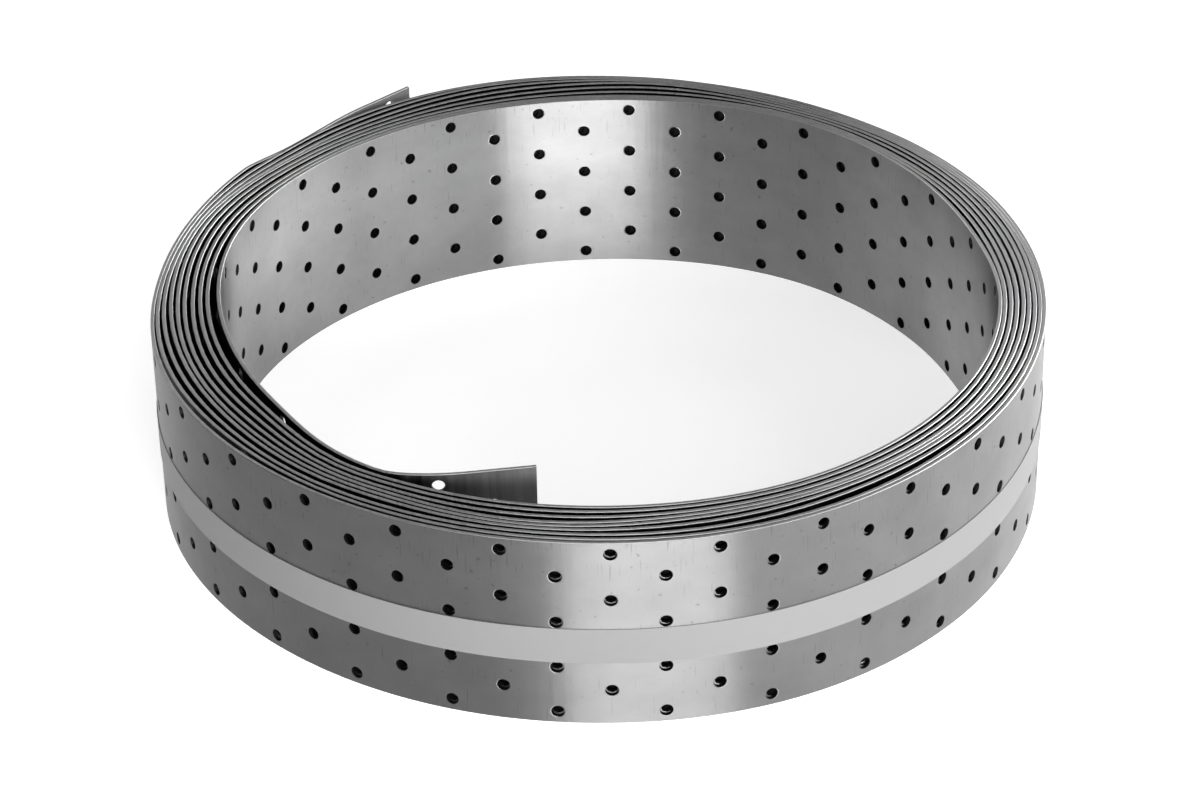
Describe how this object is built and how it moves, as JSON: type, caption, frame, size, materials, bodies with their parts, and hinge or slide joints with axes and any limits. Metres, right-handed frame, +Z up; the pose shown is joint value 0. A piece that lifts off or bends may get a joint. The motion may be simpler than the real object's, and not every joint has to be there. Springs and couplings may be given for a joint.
{
  "type": "coil of perforated metal strap",
  "caption": "Flat coil of galvanised steel strap with a staggered grid of punched holes, held by a flat band, for fixing, bracing and hanging.",
  "frame": {"origin": "on the coil's axis, at the floor that its lower end lies on", "axes": "+Z up along the coil's axis; -Y towards the side where a column of holes in the outermost turn faces straight out and the inner free end crosses the bore; +X to the right seen from there"},
  "size_m": [0.3628, 0.3628, 0.08],
  "materials": {
    "galvanised_steel": "hot-dip galvanised sheet, smooth, with fine rolling lines",
    "band_plastic": "light grey plastic strip, satin"
  },
  "bodies": {
    "root": {"strap_coil": "galvanised_steel", "binding_band": "band_plastic"}
  },
  "joints": []
}
